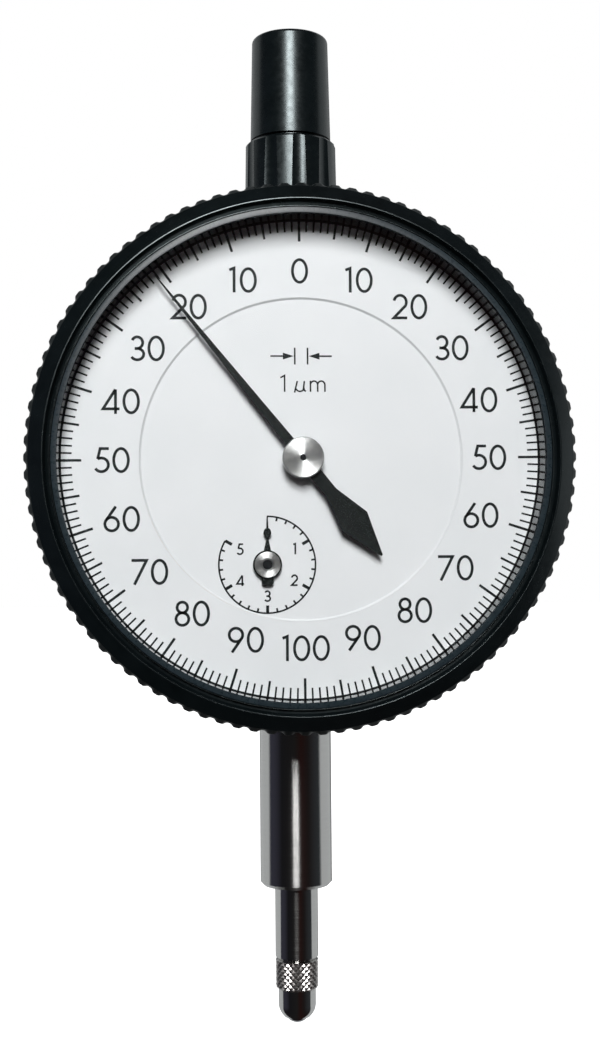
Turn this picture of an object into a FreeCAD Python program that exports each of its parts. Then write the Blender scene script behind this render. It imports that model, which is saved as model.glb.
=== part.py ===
import FreeCAD, Part
import math
import os

# Plunger dial indicator: a sprung spindle turns a pointer once for every 0.2 mm of travel.
# Millimetres. +Z is up along the stem and spindle, the dial faces -Y, +X is to the dial's right.
# The origin is on the stem's axis, in the middle of its clamping length.
# A plan position is (x, z) from the dial's centre. A clock angle is in degrees, clockwise from
# 12 as seen from the front, which is also positive about +Y.

# Driving dimensions: outside
CASE_D = 52.0
CASE_WALL = 2.0
RIM_OVERHANG = 2.5           # the bezel's rim past the case, all round
STEM_D = 8.0
STEM_LENGTH = 19.0           # from the case's boss to the stem's end
SPINDLE_D = 4.8
TRAVEL = 5.1
SPINDLE_BELOW_STEM = 8.2     # spindle showing at rest, down to the contact point
CONTACT_LENGTH = 7.05
GRIP_LENGTH = 3.15
CONTACT_BALL_D = 3.0
BOSS_BELOW = 1.6             # lower boss past the case
COLLAR_LENGTH = 9.9
CAP_LENGTH = 11.7

# Depths, front to back
SPINDLE_GAP = 0.6            # spindle to what runs in front of it and behind it
PLATE_T = 1.0
WHEEL_T = 0.7
LEVEL_GAP = 0.9              # between a wheel and the next level
FLANGE_T = 1.6
COVER_T = 2.0
DIAL_SPACE = 1.65            # front plate to dial
DIAL_T = 0.5
DIAL_STEP = 0.15             # the fixed dial lies this far behind the turning ring
POINTER_RISE = 1.05          # dial ring to pointer
POINTER_T = 0.15
HUB_T = 0.7
HUB_GAP = 0.5                # pointer hub to crystal
CRYSTAL_T = 1.35
SPIGOT_LENGTH = 3.0          # case front that the bezel turns on
BEZEL_GAP = 0.3              # bezel to the case's shoulder
RETAINER_T = 0.55

# Dial and pointers
DIAL_DISC_R = 16.75
DIAL_RING_GAP = 0.15
WINDOW_R = 25.02             # bezel's opening at the dial
COUNTER_CENTRE = (-3.7, -11.0)
POINTER_REACH = 24.2
POINTER_TAIL = 13.0
POINTER_REST_CLOCK = -38.7
COUNTER_REACH = 5.0

# Gear train: the rack's pitch, then tooth counts and modules
RACK_PITCH = 0.625
RACK_DEPTH = 1.1             # rack's pitch line below the spindle's surface
FIRST_PINION, FIRST_WHEEL = 16, 100
SECOND_PINION, SECOND_WHEEL = 20, 100
CENTRE_PINION = 10
COUNTER_PINION, COUNTER_WHEEL = 12, 36
TAKEUP_WHEEL = 90
REAR_MODULE = 0.2            # first wheel and second pinion
FRONT_MODULE = 0.18          # second wheel, centre pinion and take-up wheel
COUNTER_MODULE = 0.2
TAKEUP_CLOCK = 42.8
PRESSURE_ANGLE = math.radians(20)
WHEEL_ADDENDUM = 0.6         # tooth heights as shares of the module
PINION_ADDENDUM = 1.0
DEDENDUM = 1.2
THINNING = 0.09              # share of each tooth's thickness left out as backlash

# Fits
SLIDE_CLEARANCE = 0.015      # spindle in its bushes
PIVOT_CLEARANCE = 0.02
BEZEL_CLEARANCE = 0.08
END_SHAKE = 0.1

# Fasteners and small parts
PILLAR_CLOCKS = (70, 150, 213, 290)
COVER_SCREW_CLOCKS = (45, 135, 225, 315)
PILLAR_INSET = 3.0           # pillar centres inside the case's bore
PILLAR_R = 1.5
MOVEMENT_SCREW_R = 0.8
COVER_SCREW_R = 1.0
COUNTERSINK = 1.0            # depth of a cover screw's 90 degree head
COVER_SCREW_INSET = 2.8
PIVOT_R = 0.25
ARBOR_R = 0.6
CENTRE_ARBOR_R = 0.5
JEWEL_R = 0.95
CENTRE_JEWEL_R = 1.3
SPRING_X = -4.2
GUIDE_PIN_R = 0.6
GUIDE_PIN_Z = 7.5            # above the dial's centre, at rest
RAIL_X = -5.8                # inner side of the guide rail
RAIL_T = 1.2

# Worked out from the above
CASE_R = CASE_D / 2
CASE_BORE_R = CASE_R - CASE_WALL
FLANGE_R = CASE_BORE_R - 5.5
BEZEL_R = CASE_R + RIM_OVERHANG
STEM_R = STEM_D / 2
SPINDLE_R = SPINDLE_D / 2
DIAL_Z = STEM_LENGTH / 2 + BOSS_BELOW + CASE_R
BUSH_BORE_R = SPINDLE_R + SLIDE_CLEARANCE
SKIRT_BORE_R = CASE_R - 0.35
SPIGOT_R = SKIRT_BORE_R - BEZEL_CLEARANCE
PILLAR_CIRCLE_R = CASE_BORE_R - PILLAR_INSET
COVER_CIRCLE_R = CASE_BORE_R - COVER_SCREW_INSET
PLATE_R = CASE_BORE_R - 1.4

# Depth stations behind the spindle, then in front of it
REAR_PLATE_Y = SPINDLE_R + SPINDLE_GAP
FLANGE_Y = REAR_PLATE_Y + PLATE_T
COVER_Y = FLANGE_Y + FLANGE_T
BACK_Y = COVER_Y + COVER_T
FIRST_WHEEL_Y = -REAR_PLATE_Y
MIDDLE_PLATE_Y = FIRST_WHEEL_Y - WHEEL_T - LEVEL_GAP
SECOND_WHEEL_Y = MIDDLE_PLATE_Y - PLATE_T - LEVEL_GAP
COUNTER_WHEEL_Y = SECOND_WHEEL_Y - WHEEL_T - LEVEL_GAP
FRONT_PLATE_Y = COUNTER_WHEEL_Y - WHEEL_T - LEVEL_GAP
DIAL_DISC_Y = FRONT_PLATE_Y - PLATE_T - DIAL_SPACE
DIAL_FACE_Y = DIAL_DISC_Y - DIAL_T
RING_FACE_Y = DIAL_FACE_Y - DIAL_STEP
RING_BACK_Y = RING_FACE_Y + DIAL_T
RETAINER_BACK_Y = RING_BACK_Y + RETAINER_T
SPIGOT_FRONT_Y = RETAINER_BACK_Y + 0.35
SHOULDER_Y = SPIGOT_FRONT_Y + SPIGOT_LENGTH
BEZEL_BACK_Y = SHOULDER_Y - BEZEL_GAP
POINTER_Y = RING_FACE_Y - POINTER_RISE
HUB_FRONT_Y = POINTER_Y - POINTER_T - HUB_T
CRYSTAL_BACK_Y = HUB_FRONT_Y - HUB_GAP
CRYSTAL_FRONT_Y = CRYSTAL_BACK_Y - CRYSTAL_T

# Heights along the spindle's axis, from the dial's centre
BOSS_INNER = CASE_R - 6.0
BOSS_R = 5.5
NECK_R = BOSS_R - 0.25       # upper boss
STEM_TOP = -(CASE_R + BOSS_BELOW)
STEM_END = STEM_TOP - STEM_LENGTH
SPINDLE_END = STEM_END - SPINDLE_BELOW_STEM
NECK_TOP = CASE_R + 1.0
COLLAR_TOP = NECK_TOP + COLLAR_LENGTH
CAP_TOP = COLLAR_TOP + 0.4 + CAP_LENGTH
CAP_CAVITY_TOP = CAP_TOP - 1.4
SPINDLE_TOP = CAP_CAVITY_TOP - 1.4 - TRAVEL
SOCKET_R = STEM_R - 0.5      # stem's spigot, and the bore of both bosses
STEM_BORE_R = STEM_R - 1.0
STOP_RING_R = SPINDLE_R + 0.4
STOP_RING_Z = -BOSS_INNER + 0.65


# Placing and simple shapes

def at(x, y, z):
    """A point x, y, with z measured from the dial's centre."""
    return FreeCAD.Vector(x, y, z + DIAL_Z)


def clock(radius, degrees):
    """The plan position at a clock angle."""
    angle = math.radians(degrees)
    return radius * math.sin(angle), radius * math.cos(angle)


def rod(radius, back, front, centre=(0, 0)):
    """A cylinder along Y, from its back to its front."""
    x, z = centre
    return Part.makeCylinder(radius, back - front, at(x, back, z), FreeCAD.Vector(0, -1, 0))


def tube(outer, inner, back, front, centre=(0, 0)):
    return rod(outer, back, front, centre).cut(rod(inner, back + 1, front - 1, centre))


def upright(radius, low, high, x=0, y=0):
    """A cylinder along Z between two heights from the dial's centre."""
    return Part.makeCylinder(radius, high - low, at(x, y, low))


def block(x_range, y_range, z_range):
    size = [high - low for low, high in (x_range, y_range, z_range)]
    return Part.makeBox(*size, at(x_range[0], y_range[0], z_range[0]))


def turned(outline):
    """A solid turned about the dial's axis from (radius, y) points."""
    wire = Part.makePolygon([at(r, y, 0) for r, y in outline + outline[:1]])
    return Part.Face(wire).revolve(at(0, 0, 0), FreeCAD.Vector(0, 1, 0), 360)


def turned_upright(outline):
    """A solid turned about the spindle's axis from (radius, z) points."""
    wire = Part.makePolygon([at(r, 0, z) for r, z in outline + outline[:1]])
    return Part.Face(wire).revolve(at(0, 0, 0), FreeCAD.Vector(0, 0, 1), 360)


def turn_clock(shape, degrees, centre=(0, 0)):
    x, z = centre
    copy = shape.copy()
    copy.rotate(at(x, 0, z), FreeCAD.Vector(0, 1, 0), degrees)
    return copy


def raised(points, back, thickness):
    """A plate with a plan outline of straight sides, from its back face forwards."""
    wire = Part.makePolygon([at(x, back, z) for x, z in points + points[:1]])
    return Part.Face(wire).extrude(FreeCAD.Vector(0, -thickness, 0))


def meeting(first, first_r, second, second_r, side):
    """Where circles about two plan positions cross, on one side of the line between them."""
    dx, dz = second[0] - first[0], second[1] - first[1]
    apart = math.hypot(dx, dz)
    along = (first_r ** 2 - second_r ** 2 + apart ** 2) / (2 * apart)
    across = side * math.sqrt(first_r ** 2 - along ** 2)
    x = first[0] + (along * dx - across * dz) / apart
    z = first[1] + (along * dz + across * dx) / apart
    return x, z


# Gears

def pitch_r(teeth, module):
    return teeth * module / 2


def involute(angle):
    return math.tan(angle) - angle


class Gear:
    """A spur gear about Y. Its phase is the clock angle of one tooth, in radians."""

    def __init__(self, teeth, module, addendum, centre, phase=0.0):
        self.teeth, self.centre, self.phase = teeth, centre, phase
        self.pitch_r = pitch_r(teeth, module)
        self.base_r = self.pitch_r * math.cos(PRESSURE_ANGLE)
        self.tip_r = self.pitch_r + addendum * module
        self.root_r = self.pitch_r - DEDENDUM * module

    def half_tooth(self, radius):
        """Half of a tooth's angle at a radius."""
        middle = math.pi / (2 * self.teeth) * (1 - THINNING)
        pressure = math.acos(min(1.0, self.base_r / radius))
        return middle + involute(PRESSURE_ANGLE) - involute(pressure)

    def point(self, radius, angle, y):
        x, z = self.centre
        return at(x + radius * math.sin(angle), y, z + radius * math.cos(angle))

    def flank(self, middle, side, y):
        """One side of a tooth, from its root to its tip."""
        start = max(self.base_r, self.root_r)
        radii = (start, (start + self.tip_r) / 2, self.tip_r)
        curve = [self.point(r, middle + side * self.half_tooth(r), y) for r in radii]
        edges = [Part.Arc(*curve).toShape()]
        if self.root_r < self.base_r:
            foot = self.point(self.root_r, middle + side * self.half_tooth(start), y)
            edges.insert(0, Part.LineSegment(foot, curve[0]).toShape())
        return edges

    def outline(self, y):
        edges = []
        step = 2 * math.pi / self.teeth
        root_half = self.half_tooth(max(self.base_r, self.root_r))
        tip_half = self.half_tooth(self.tip_r)
        for index in range(self.teeth):
            middle = self.phase + index * step
            tip = [self.point(self.tip_r, middle + a, y) for a in (-tip_half, 0, tip_half)]
            gap = (middle + root_half, middle + step / 2, middle + step - root_half)
            root = [self.point(self.root_r, a, y) for a in gap]
            edges += self.flank(middle, -1, y)
            edges.append(Part.Arc(*tip).toShape())
            edges += reversed(self.flank(middle, 1, y))
            edges.append(Part.Arc(*root).toShape())
        return Part.Wire(Part.__sortEdges__(edges))

    def solid(self, back, thickness):
        return Part.Face(self.outline(back)).extrude(FreeCAD.Vector(0, -thickness, 0))

    def meshed(self, teeth, module, addendum, centre):
        """A gear at another centre, turned until its teeth sit in this one's gaps."""
        dx, dz = centre[0] - self.centre[0], centre[1] - self.centre[1]
        towards = math.atan2(dx, dz)
        share = (towards - self.phase) * self.teeth / (2 * math.pi)
        phase = towards + math.pi - (0.5 - share) * 2 * math.pi / teeth
        return Gear(teeth, module, addendum, centre, phase)


RACK_MODULE = RACK_PITCH / math.pi
RACK_X = SPINDLE_R - RACK_DEPTH
FIRST_X = RACK_X + pitch_r(FIRST_PINION, RACK_MODULE)
REAR_CENTRES = pitch_r(FIRST_WHEEL + SECOND_PINION, REAR_MODULE)
FRONT_CENTRES = pitch_r(SECOND_WHEEL + CENTRE_PINION, FRONT_MODULE)
COUNTER_CENTRES = pitch_r(COUNTER_PINION + COUNTER_WHEEL, COUNTER_MODULE)
TAKEUP_CENTRES = pitch_r(TAKEUP_WHEEL + CENTRE_PINION, FRONT_MODULE)
DIAL_CENTRE = (0.0, 0.0)
SECOND_CENTRE = meeting(DIAL_CENTRE, FRONT_CENTRES, COUNTER_CENTRE, COUNTER_CENTRES, -1)
FIRST_RISE = math.sqrt(REAR_CENTRES ** 2 - (FIRST_X - SECOND_CENTRE[0]) ** 2)
FIRST_CENTRE = (FIRST_X, SECOND_CENTRE[1] + FIRST_RISE)
TAKEUP_CENTRE = clock(TAKEUP_CENTRES, TAKEUP_CLOCK)

RACK_SIDE = math.radians(270)
first_pinion = Gear(FIRST_PINION, RACK_MODULE, PINION_ADDENDUM, FIRST_CENTRE,
                    RACK_SIDE + math.pi / FIRST_PINION)
first_wheel = Gear(FIRST_WHEEL, REAR_MODULE, WHEEL_ADDENDUM, FIRST_CENTRE)
second_pinion = first_wheel.meshed(SECOND_PINION, REAR_MODULE, PINION_ADDENDUM, SECOND_CENTRE)
second_wheel = Gear(SECOND_WHEEL, FRONT_MODULE, WHEEL_ADDENDUM, SECOND_CENTRE)
centre_pinion = second_wheel.meshed(CENTRE_PINION, FRONT_MODULE, PINION_ADDENDUM, DIAL_CENTRE)
counter_pinion = Gear(COUNTER_PINION, COUNTER_MODULE, PINION_ADDENDUM, SECOND_CENTRE)
counter_wheel = counter_pinion.meshed(COUNTER_WHEEL, COUNTER_MODULE, WHEEL_ADDENDUM, COUNTER_CENTRE)
takeup_wheel = centre_pinion.meshed(TAKEUP_WHEEL, FRONT_MODULE, WHEEL_ADDENDUM, TAKEUP_CENTRE)


def crossed_wheel(gear, back, bore_r, spokes=5):
    """A wheel with its web cut away between spokes."""
    rim_r = gear.root_r - 0.8
    hub_r = bore_r + 0.9
    spoke_w = 0.9
    x, z = gear.centre
    window = tube(rim_r, hub_r, back + 1, back - WHEEL_T - 1, gear.centre)
    for index in range(spokes):
        spoke = block((x - spoke_w / 2, x + spoke_w / 2), (back - WHEEL_T - 2, back + 2),
                      (z, z + rim_r + 1))
        window = window.cut(turn_clock(spoke, index * 360 / spokes, gear.centre))
    bore = rod(bore_r, back + 1, back - WHEEL_T - 1, gear.centre)
    return gear.solid(back, WHEEL_T).cut(window).cut(bore)


def arbor(centre, back, front, radius, pivot_length):
    """A shaft between two plates, with a thinner pivot at each end."""
    body = rod(radius, back - END_SHAKE, front + END_SHAKE, centre)
    return body.fuse(rod(PIVOT_R, back + pivot_length, front - pivot_length, centre))


# Fasteners

def slotted_screw(centre, seat, head_r, head_t, shank_r, reach, towards):
    """A screw along Y. towards is 1 if its head is behind its seat, -1 if it is in front."""
    head_far = seat + towards * head_t
    shank_far = seat - towards * reach
    head = rod(head_r, max(seat, head_far), min(seat, head_far), centre)
    shank = rod(shank_r, max(seat, shank_far), min(seat, shank_far), centre)
    x, z = centre
    slot_depth = head_t * 0.45
    slot_y = sorted((head_far - towards * slot_depth, head_far + towards))
    slot = block((x - head_r - 1, x + head_r + 1), slot_y, (z - head_r / 8, z + head_r / 8))
    return head.fuse(shank).cut(slot)


def countersink(centre):
    """The cone of a cover screw's head, flush with the cover's back."""
    x, z = centre
    return Part.makeCone(COVER_SCREW_R, COVER_SCREW_R + COUNTERSINK, COUNTERSINK,
                         at(x, BACK_Y - COUNTERSINK, z), FreeCAD.Vector(0, 1, 0))


def countersunk_screw(centre):
    """A cover screw with a cone head flush with the cover, and a cross recess."""
    x, z = centre
    end_gap = 0.05
    arm_w, arm_l, recess_depth = 0.4, 2.2, 0.7
    shank = rod(COVER_SCREW_R, BACK_Y - COUNTERSINK, FLANGE_Y + end_gap, centre)
    screw = countersink(centre).fuse(shank)
    for width, height in ((arm_w, arm_l), (arm_l, arm_w)):
        recess = block((x - width / 2, x + width / 2), (BACK_Y - recess_depth, BACK_Y + 1),
                       (z - height / 2, z + height / 2))
        screw = screw.cut(recess)
    return screw


def pillar_places():
    return [clock(PILLAR_CIRCLE_R, angle) for angle in PILLAR_CLOCKS]


def cover_screw_places():
    return [clock(COVER_CIRCLE_R, angle) for angle in COVER_SCREW_CLOCKS]


# Case and what is fixed to it

GROOVE_HALF = 0.35           # snap ring's half width
GROOVE_Y = SHOULDER_Y - 1.3
GASKET_T = 0.4


def gasket_band():
    return CASE_BORE_R - 1.0, CASE_BORE_R + 0.6


def case_housing():
    gasket_in, gasket_out = gasket_band()
    groove_r = SPIGOT_R - 0.27
    groove = GROOVE_HALF + 0.1
    shell = turned([
        (CASE_BORE_R, SPIGOT_FRONT_Y), (SPIGOT_R, SPIGOT_FRONT_Y),
        (SPIGOT_R, GROOVE_Y - groove), (groove_r, GROOVE_Y - groove),
        (groove_r, GROOVE_Y + groove), (SPIGOT_R, GROOVE_Y + groove),
        (SPIGOT_R, SHOULDER_Y), (CASE_R - 0.2, SHOULDER_Y), (CASE_R, SHOULDER_Y + 0.2),
        (CASE_R, COVER_Y), (FLANGE_R, COVER_Y), (FLANGE_R, FLANGE_Y), (CASE_BORE_R, FLANGE_Y)])
    shell = shell.fuse(upright(BOSS_R, STEM_TOP, -BOSS_INNER))
    shell = shell.fuse(upright(NECK_R, BOSS_INNER, NECK_TOP))
    shell = shell.cut(rod(CASE_R + BOSS_BELOW, BACK_Y, COVER_Y))
    shell = shell.cut(tube(gasket_out, gasket_in, COVER_Y, COVER_Y - GASKET_T))
    shell = shell.cut(upright(SOCKET_R, STEM_TOP - 1, -BOSS_INNER + 1))
    shell = shell.cut(upright(SOCKET_R, BOSS_INNER - 1, NECK_TOP + 1))
    for place in pillar_places():
        shell = shell.cut(rod(MOVEMENT_SCREW_R, COVER_Y + 1, FLANGE_Y - 1, place))
    for place in cover_screw_places():
        shell = shell.cut(rod(COVER_SCREW_R, COVER_Y + 1, FLANGE_Y - 1, place))
    return shell


def stem():
    chamfer = 0.4
    return turned_upright([
        (STEM_BORE_R, STEM_END), (STEM_R - chamfer, STEM_END), (STEM_R, STEM_END + chamfer),
        (STEM_R, STEM_TOP), (SOCKET_R, STEM_TOP), (SOCKET_R, -BOSS_INNER),
        (STEM_BORE_R, -BOSS_INNER)])


def lower_bush():
    low = STEM_END + 0.3
    high = low + 12.0
    return upright(STEM_BORE_R, low, high).cut(upright(BUSH_BORE_R, low - 1, high + 1))


def upper_bush():
    high = NECK_TOP + 4.0
    return upright(SOCKET_R, BOSS_INNER, high).cut(upright(BUSH_BORE_R, BOSS_INNER - 1, high + 1))


def cap_collar():
    """The fluted collar that the cap screws into: shallow round flutes, a little off the front."""
    flutes = 10
    flute_r = 2.2
    flute_depth = 0.3
    first_flute = 6.6
    low_r, top_r = NECK_R, NECK_R - 0.15
    edge = 0.25
    collar = turned_upright([
        (SOCKET_R, NECK_TOP), (low_r, NECK_TOP), (top_r, COLLAR_TOP - edge),
        (top_r - edge, COLLAR_TOP), (SOCKET_R, COLLAR_TOP)])
    cutter = Part.makeCylinder(flute_r, COLLAR_LENGTH + 2,
                               at(0, flute_depth - low_r - flute_r, NECK_TOP - 1))
    for index in range(flutes):
        flute = cutter.copy()
        flute.rotate(at(0, 0, 0), FreeCAD.Vector(0, 0, 1), first_flute + index * 360 / flutes)
        collar = collar.cut(flute)
    return collar


def spindle_cap():
    """The hollow cap over the spindle's upper end."""
    low_r, top_r = BOSS_R - 0.95, BOSS_R - 1.2
    neck_r = low_r - 0.35
    cavity_r = SOCKET_R - 0.6
    seat = COLLAR_TOP
    foot = seat + 0.4
    spigot = NECK_TOP + 5.0
    cap = turned_upright([
        (0, CAP_TOP), (top_r, CAP_TOP), (low_r, foot), (neck_r, foot), (neck_r, seat),
        (SOCKET_R, seat), (SOCKET_R, spigot), (cavity_r, spigot), (cavity_r, CAP_CAVITY_TOP),
        (0, CAP_CAVITY_TOP)])
    top_edges = [e for e in cap.Edges if abs(e.BoundBox.ZMin - CAP_TOP - DIAL_Z) < 1e-6
                 and e.BoundBox.XMax > top_r - 0.01]
    return cap.makeFillet(0.45, top_edges)


def back_cover():
    edge = 0.5
    spigot = 0.5
    cover = turned([
        (0, BACK_Y), (CASE_R - edge, BACK_Y), (CASE_R, BACK_Y - edge), (CASE_R, COVER_Y),
        (FLANGE_R - 0.1, COVER_Y), (FLANGE_R - 0.1, COVER_Y - spigot), (0, COVER_Y - spigot)])
    for place in cover_screw_places():
        shank_room = rod(COVER_SCREW_R + 0.1, BACK_Y, COVER_Y, place)
        cover = cover.cut(shank_room).cut(countersink(place))
    return cover


def back_gasket():
    gasket_in, gasket_out = gasket_band()
    return tube(gasket_out, gasket_in, COVER_Y, COVER_Y - GASKET_T)


def back_cover_screws():
    return Part.makeCompound([countersunk_screw(place) for place in cover_screw_places()])


# Movement frame

def plate_blank(back):
    """A movement plate with its four pillar holes."""
    plate = rod(PLATE_R, back, back - PLATE_T)
    for place in pillar_places():
        plate = plate.cut(rod(MOVEMENT_SCREW_R + 0.05, back + 1, back - PLATE_T - 1, place))
    return plate


def clear_of_bosses(plate, back):
    """Notches at 6 and 12 where a plate would meet the case's bosses."""
    half = BOSS_R + 0.7
    reach = (BOSS_INNER - 1.2, CASE_R)
    for low, high in (reach, (-reach[1], -reach[0])):
        plate = plate.cut(block((-half, half), (back - PLATE_T - 1, back + 1), (low, high)))
    return plate


def jewel_seats(plate, back, seats):
    for centre, radius in seats:
        plate = plate.cut(rod(radius, back + 1, back - PLATE_T - 1, centre))
    return plate


REAR_SEATS = ((FIRST_CENTRE, JEWEL_R), (SECOND_CENTRE, JEWEL_R))
MIDDLE_SEATS = ((FIRST_CENTRE, JEWEL_R), (DIAL_CENTRE, JEWEL_R), (TAKEUP_CENTRE, JEWEL_R))
FRONT_SEATS = ((SECOND_CENTRE, JEWEL_R), (DIAL_CENTRE, CENTRE_JEWEL_R), (TAKEUP_CENTRE, JEWEL_R))
RAIL_SCREW_HEIGHTS = (GUIDE_PIN_Z - 2.1, GUIDE_PIN_Z + TRAVEL + 2.2)
RAIL_MIDDLE_X = RAIL_X - RAIL_T / 2
RAIL_SCREW_R = 0.35
ANCHOR_PLACE = (SPRING_X, -14.0)
COUNTER_BUSH_R = 1.5
FOOT_PLACES = (clock(13.5, 60), clock(13.5, 285))
FOOT_R = 0.6


def rear_plate():
    plate = clear_of_bosses(plate_blank(FLANGE_Y), FLANGE_Y)
    plate = jewel_seats(plate, FLANGE_Y, REAR_SEATS)
    for height in RAIL_SCREW_HEIGHTS:
        plate = plate.cut(rod(RAIL_SCREW_R, FLANGE_Y + 1, REAR_PLATE_Y - 1, (RAIL_MIDDLE_X, height)))
    return plate.cut(rod(GUIDE_PIN_R, FLANGE_Y + 1, REAR_PLATE_Y - 1, ANCHOR_PLACE))


def middle_plate():
    plate = clear_of_bosses(plate_blank(MIDDLE_PLATE_Y), MIDDLE_PLATE_Y)
    plate = jewel_seats(plate, MIDDLE_PLATE_Y, MIDDLE_SEATS)
    opening = rod(ARBOR_R + 0.4, MIDDLE_PLATE_Y + 1, MIDDLE_PLATE_Y - PLATE_T - 1, SECOND_CENTRE)
    return plate.cut(opening)


def front_plate():
    plate = jewel_seats(plate_blank(FRONT_PLATE_Y), FRONT_PLATE_Y, FRONT_SEATS)
    far = FRONT_PLATE_Y - PLATE_T - 1
    for place in FOOT_PLACES:
        plate = plate.cut(rod(FOOT_R, FRONT_PLATE_Y + 1, far, place))
    return plate.cut(rod(COUNTER_BUSH_R, FRONT_PLATE_Y + 1, far, COUNTER_CENTRE))


def pillars(back, front):
    bore = MOVEMENT_SCREW_R + 0.05
    return Part.makeCompound([tube(PILLAR_R, bore, back, front, p) for p in pillar_places()])


def movement_screws():
    seat = FRONT_PLATE_Y - PLATE_T
    reach = COVER_Y - 0.1 - seat
    screws = [slotted_screw(place, seat, 1.4, 0.7, MOVEMENT_SCREW_R, reach, -1)
              for place in pillar_places()]
    return Part.makeCompound(screws)


def pivot_jewels():
    """Ring-shaped bearing stones, flush in the plates."""
    stones = []
    for back, seats in ((FLANGE_Y, REAR_SEATS), (MIDDLE_PLATE_Y, MIDDLE_SEATS),
                        (FRONT_PLATE_Y, FRONT_SEATS)):
        for centre, radius in seats:
            shaft = CENTRE_ARBOR_R if radius == CENTRE_JEWEL_R else PIVOT_R
            stones.append(tube(radius, shaft + PIVOT_CLEARANCE, back, back - PLATE_T, centre))
    return Part.makeCompound(stones)


def counter_bush():
    bore = CENTRE_ARBOR_R + PIVOT_CLEARANCE
    return tube(COUNTER_BUSH_R, bore, FRONT_PLATE_Y, DIAL_DISC_Y - 0.1, COUNTER_CENTRE)


def dial_disc():
    """The fixed inner dial, on two feet that plug into the front plate."""
    disc = rod(DIAL_DISC_R, DIAL_DISC_Y, DIAL_FACE_Y)
    disc = disc.cut(rod(1.4, DIAL_DISC_Y + 1, DIAL_FACE_Y - 1))
    disc = disc.cut(rod(COUNTER_BUSH_R, DIAL_DISC_Y + 1, DIAL_FACE_Y - 1, COUNTER_CENTRE))
    for place in FOOT_PLACES:
        foot = rod(2 * FOOT_R, FRONT_PLATE_Y - PLATE_T, DIAL_DISC_Y, place)
        disc = disc.fuse(foot).fuse(rod(FOOT_R, FRONT_PLATE_Y, DIAL_DISC_Y, place))
    return disc


# Spindle guide and springs

def guide_rail():
    """A slotted rail that keeps the spindle from turning."""
    low, high = RAIL_SCREW_HEIGHTS
    front = -GUIDE_PIN_R - 1.1
    rail = block((RAIL_X - RAIL_T, RAIL_X), (front, REAR_PLATE_Y), (low - 1.0, high + 1.0))
    half = GUIDE_PIN_R + 0.03
    end = GUIDE_PIN_R + 0.4
    slot = block((RAIL_X - RAIL_T - 1, RAIL_X + 1), (-half, half),
                 (GUIDE_PIN_Z - end, GUIDE_PIN_Z + TRAVEL + end))
    rail = rail.cut(slot)
    for height in (low, high):
        rail = rail.cut(rod(RAIL_SCREW_R, REAR_PLATE_Y + 1, 0.4, (RAIL_MIDDLE_X, height)))
    return rail


def guide_rail_screws():
    reach = FLANGE_Y - 0.5
    screws = [slotted_screw((RAIL_MIDDLE_X, height), FLANGE_Y, 0.8, 0.6, RAIL_SCREW_R, reach, 1)
              for height in RAIL_SCREW_HEIGHTS]
    return Part.makeCompound(screws)


def spring_anchor():
    return rod(GUIDE_PIN_R, FLANGE_Y, -1.4, ANCHOR_PLACE)


WIRE_R = 0.16
COIL_R = 1.0


def eye(centre, normal):
    return Part.makeTorus(COIL_R, WIRE_R, centre, normal)


def return_spring():
    """The extension spring that pulls the spindle down, with an eye at each end."""
    turns = 20.25
    straight = 1.6           # between each eye's middle and the coil
    into_eye = 0.3
    knuckle_r = 1.02 * WIRE_R
    anchor_z = ANCHOR_PLACE[1]
    low, high = anchor_z + straight, GUIDE_PIN_Z - straight
    path = Part.makeHelix((high - low) / turns, high - low, COIL_R)
    section = Part.makeCircle(WIRE_R, FreeCAD.Vector(COIL_R, 0, 0), FreeCAD.Vector(0, 1, 0))
    spring = Part.Wire(path.Edges).makePipeShell([Part.Wire(section)], True, True)
    spring.translate(at(SPRING_X, 0, low))
    foot_x, head_y = SPRING_X + COIL_R, COIL_R
    for piece in (
            Part.makeSphere(knuckle_r, at(foot_x, 0, low)),
            Part.makeSphere(knuckle_r, at(SPRING_X, head_y, high)),
            upright(WIRE_R, anchor_z - into_eye, low, foot_x),
            upright(WIRE_R, high, GUIDE_PIN_Z + into_eye, SPRING_X, head_y),
            eye(at(SPRING_X, 0, anchor_z), FreeCAD.Vector(0, 1, 0)),
            eye(at(SPRING_X, 0, GUIDE_PIN_Z), FreeCAD.Vector(1, 0, 0))):
        spring = spring.fuse(piece)
    return spring


def buffer_washer():
    seat = -BOSS_INNER
    ring = upright(SOCKET_R - 0.2, seat, STOP_RING_Z - 0.05)
    return ring.cut(upright(SPINDLE_R + 0.12, seat - 1, STOP_RING_Z + 1))


COLLET_R = 1.0
HAIRSPRING_T = 0.1
HAIRSPRING_TURNS = 6
HAIRSPRING_PITCH = 0.65
HAIRSPRING_FIRST_R = COLLET_R + 0.05
HAIRSPRING_BACK_Y = COUNTER_WHEEL_Y - 0.05
HAIRSPRING_WIDTH = WHEEL_T - 0.1


def hairspring():
    """The flat spiral that keeps the train's backlash to one side."""
    steps = 16
    x, z = TAKEUP_CENTRE

    def side(offset):
        points = []
        for step in range(HAIRSPRING_TURNS * steps + 1):
            radius = HAIRSPRING_FIRST_R + offset + HAIRSPRING_PITCH * step / steps
            dx, dz = clock(radius, step * 360 / steps)
            points.append(at(x + dx, HAIRSPRING_BACK_Y, z + dz))
        curve = Part.BSplineCurve()
        curve.interpolate(points)
        return curve.toShape(), points[0], points[-1]

    inner, inner_start, inner_end = side(0)
    outer, outer_start, outer_end = side(HAIRSPRING_T)
    ends = (Part.LineSegment(inner_start, outer_start).toShape(),
            Part.LineSegment(inner_end, outer_end).toShape())
    wire = Part.Wire(Part.__sortEdges__([inner, ends[1], outer, ends[0]]))
    return Part.Face(wire).extrude(FreeCAD.Vector(0, -HAIRSPRING_WIDTH, 0))


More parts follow.
